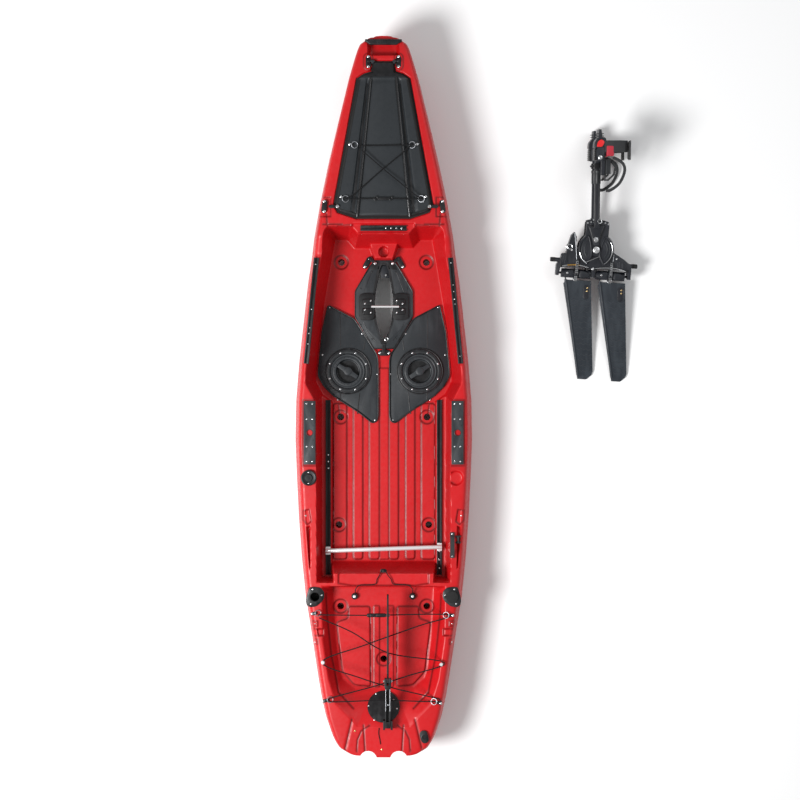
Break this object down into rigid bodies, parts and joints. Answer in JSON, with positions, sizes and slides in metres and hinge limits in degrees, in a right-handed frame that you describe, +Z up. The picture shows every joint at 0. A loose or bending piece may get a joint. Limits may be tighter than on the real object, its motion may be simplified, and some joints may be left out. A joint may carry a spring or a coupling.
{
  "type": "pedal kayak",
  "caption": "Sit-on-top pedal kayak with a fold-down rudder, hatches, gear tracks and a lift-out pedal drive with swinging fins lying beside the hull.",
  "frame": {"origin": "underside of the hull, amidships on the centreline, on the floor", "axes": "+Y towards the bow, +Z up, +X to starboard"},
  "size_m": [1.7512, 3.6, 0.401],
  "materials": {
    "hull_red": "semi-gloss moulded polyethylene with a fine pebbled skin",
    "slate_plastic": "matt textured moulding",
    "black_plastic": "satin black moulding",
    "black_rubber": "matt rubber",
    "steel": "brushed and lightly polished",
    "fin_plastic": "matt flexible moulding with raised marks",
    "webbing": "woven webbing",
    "cord": "braided cord"
  },
  "bodies": {
    "hull": {"hull": "hull_red", "bow_handle": "black_plastic", "hatch_gasket": "black_rubber", "hatch_hinge_left": "black_plastic", "hatch_hinge_right": "black_plastic", "front_gear_track": "black_plastic", "side_track_left": "black_plastic", "side_track_right": "black_plastic", "seat_track_left": "black_plastic", "seat_track_right": "black_plastic", "mount_plate_left": "slate_plastic", "mount_plate_right": "slate_plastic", "deck_panel_left": "slate_plastic", "deck_panel_right": "slate_plastic", "rod_holder_left": "black_plastic", "rod_holder_right": "black_plastic", "rudder_mount": "black_plastic", "stern_bungee": "cord", "tether_cord": "cord", "tether_eye": "black_plastic", "rudder_line": "cord", "side_handle": "webbing"},
    "bow_hatch": {"bow_hatch_lid": "slate_plastic", "bow_bungee": "cord"},
    "hatch_latch_left": {"hatch_latch_left": "black_plastic"},
    "hatch_latch_right": {"hatch_latch_right": "black_plastic"},
    "cassette": {"well_cassette": "slate_plastic", "cassette_cross_rod": "steel"},
    "cassette_latch_left": {"cassette_latch_left": "black_plastic"},
    "cassette_latch_right": {"cassette_latch_right": "black_plastic"},
    "cassette_latch_aft": {"cassette_latch_aft": "black_plastic"},
    "round_hatch_left": {"round_hatch_left": "slate_plastic"},
    "round_hatch_right": {"round_hatch_right": "slate_plastic"},
    "seat_bar": {"seat_cross_bar": "steel"},
    "steering_dial": {"steering_dial": "black_plastic"},
    "rod_holder_cap": {"rod_holder_cap": "black_rubber"},
    "drain_plug": {"drain_plug": "black_plastic"},
    "rudder_arm": {"rudder_arm": "steel"},
    "rudder_head": {"rudder_head": "black_plastic"},
    "rudder_blade": {"rudder_blade": "black_plastic"},
    "drive": {"drive_spine": "slate_plastic", "main_axle": "steel", "cable_front": "steel", "cable_rear": "steel"},
    "crank_port": {"crank_drum_port": "slate_plastic", "crank_arm_port": "black_plastic"},
    "crank_starboard": {"crank_drum_starboard": "slate_plastic", "crank_arm_starboard": "black_plastic"},
    "pedal_port": {"pedal_port": "slate_plastic", "toe_strap_port": "webbing", "heel_strap_port": "webbing"},
    "pedal_starboard": {"pedal_starboard": "slate_plastic", "toe_strap_starboard": "webbing", "heel_strap_starboard": "webbing"},
    "mast_front": {"mast_front": "slate_plastic"},
    "mast_rear": {"mast_rear": "slate_plastic"},
    "fin_front": {"fin_front": "fin_plastic"},
    "fin_rear": {"fin_rear": "fin_plastic"}
  },
  "joints": [
    {"name": "bow_hatch_hinge", "type": "hinge", "parent": "hull", "child": "bow_hatch", "pos_m": [0, 1.67004, 0.354], "axis": [-1, 0, 0], "range_deg": [0, 95]},
    {"name": "hatch_latch_left_turn", "type": "hinge", "parent": "bow_hatch", "child": "hatch_latch_left", "pos_m": [-0.227, 0.9486, 0.35], "axis": [0, 0, 1], "range_deg": [0, 90]},
    {"name": "hatch_latch_right_turn", "type": "hinge", "parent": "bow_hatch", "child": "hatch_latch_right", "pos_m": [0.227, 0.9486, 0.35], "axis": [0, 0, 1], "range_deg": [-90, 0]},
    {"name": "cassette_lift", "type": "slide", "parent": "hull", "child": "cassette", "axis": [0, 0, 1], "range_m": [0, 0.25]},
    {"name": "cassette_latch_left_turn", "type": "hinge", "parent": "cassette", "child": "cassette_latch_left", "pos_m": [-0.04478, 0.684, 0.144], "axis": [0, 0, 1], "range_deg": [0, 180]},
    {"name": "cassette_latch_right_turn", "type": "hinge", "parent": "cassette", "child": "cassette_latch_right", "pos_m": [0.04478, 0.684, 0.144], "axis": [0, 0, 1], "range_deg": [-180, 0]},
    {"name": "cassette_latch_aft_turn", "type": "hinge", "parent": "cassette", "child": "cassette_latch_aft", "pos_m": [0, 0.27, 0.144], "axis": [0, 0, 1], "range_deg": [-90, 90]},
    {"name": "round_hatch_left_lift", "type": "slide", "parent": "hull", "child": "round_hatch_left", "axis": [0, 0, 1], "range_m": [0, 0.12]},
    {"name": "round_hatch_right_lift", "type": "slide", "parent": "hull", "child": "round_hatch_right", "axis": [0, 0, 1], "range_m": [0, 0.12]},
    {"name": "seat_bar_slide", "type": "slide", "parent": "hull", "child": "seat_bar", "axis": [0, 1, 0], "range_m": [-0.04, 0.7]},
    {"name": "steering_turn", "type": "hinge", "parent": "hull", "child": "steering_dial", "pos_m": [-0.3735, -0.4014, 0.31], "axis": [0, 0, 1], "range_deg": [-70, 70]},
    {"name": "rod_cap_hinge", "type": "hinge", "parent": "hull", "child": "rod_holder_cap", "pos_m": [0.3039, -0.9972, 0.306], "axis": [0, -1, 0], "range_deg": [0, 95]},
    {"name": "drain_plug_turn", "type": "hinge", "parent": "hull", "child": "drain_plug", "pos_m": [0.2034, -1.6956, 0.3], "axis": [0, 0, 1], "range_deg": [0, 90]},
    {"name": "rudder_flip", "type": "hinge", "parent": "hull", "child": "rudder_arm", "pos_m": [0.022, -1.6326, 0.33], "axis": [1, 0, 0], "range_deg": [0, 180]},
    {"name": "rudder_yaw", "type": "hinge", "parent": "rudder_arm", "child": "rudder_head", "pos_m": [0.022, -1.4326, 0.33], "axis": [0, 0, 1], "range_deg": [-35, 35]},
    {"name": "rudder_pitch", "type": "hinge", "parent": "rudder_head", "child": "rudder_blade", "pos_m": [0.022, -1.4066, 0.362], "axis": [1, 0, 0], "range_deg": [0, 90]},
    {"name": "drive_lift", "type": "slide", "parent": "hull", "child": "drive", "axis": [0, 0, 1], "range_m": [0, 0.4]},
    {"name": "crank_swing", "type": "hinge", "parent": "drive", "child": "crank_port", "pos_m": [1.082, 0.76, 0.10022], "axis": [-0.01, -0.1424, 0.9898], "range_deg": [-25, 25]},
    {"name": "crank_starboard_swing", "type": "hinge", "parent": "drive", "child": "crank_starboard", "pos_m": [1.082, 0.76, 0.10022], "axis": [-0.01, -0.1424, 0.9898], "range_deg": [-25, 25]},
    {"name": "pedal_port_tilt", "type": "hinge", "parent": "crank_port", "child": "pedal_port", "pos_m": [1.08167, 1.21927, 0.16631], "axis": [-0.01, -0.1424, 0.9898], "range_deg": [-30, 30]},
    {"name": "pedal_starboard_tilt", "type": "hinge", "parent": "crank_starboard", "child": "pedal_starboard", "pos_m": [1.08167, 1.21927, 0.16631], "axis": [-0.01, -0.1424, 0.9898], "range_deg": [-30, 30]},
    {"name": "mast_front_swing", "type": "hinge", "parent": "drive", "child": "mast_front", "pos_m": [1.07302, 0.63165, 0.08166], "axis": [0.9976, -0.0698, 0], "range_deg": [-50, 50]},
    {"name": "mast_rear_swing", "type": "hinge", "parent": "drive", "child": "mast_rear", "pos_m": [1.07302, 0.63165, 0.08166], "axis": [0.9976, -0.0698, 0], "range_deg": [-50, 50]},
    {"name": "fin_front_feather", "type": "hinge", "parent": "mast_front", "child": "fin_front", "pos_m": [0.93212, 0.62294, 0.07899], "axis": [0.1409, -0.9801, -0.1396], "range_deg": [-25, 25]},
    {"name": "fin_rear_feather", "type": "hinge", "parent": "mast_rear", "child": "fin_rear", "pos_m": [1.1077, 0.61067, 0.07899], "axis": [0.1409, -0.9801, -0.1396], "range_deg": [-25, 25]}
  ],
  "couplings": [
    {"joint": "steering_turn", "follows": "rudder_yaw", "ratio": -2},
    {"joint": "crank_starboard_swing", "follows": "crank_swing", "ratio": -1},
    {"joint": "mast_front_swing", "follows": "crank_swing", "ratio": 2},
    {"joint": "mast_rear_swing", "follows": "crank_swing", "ratio": -2}
  ]
}
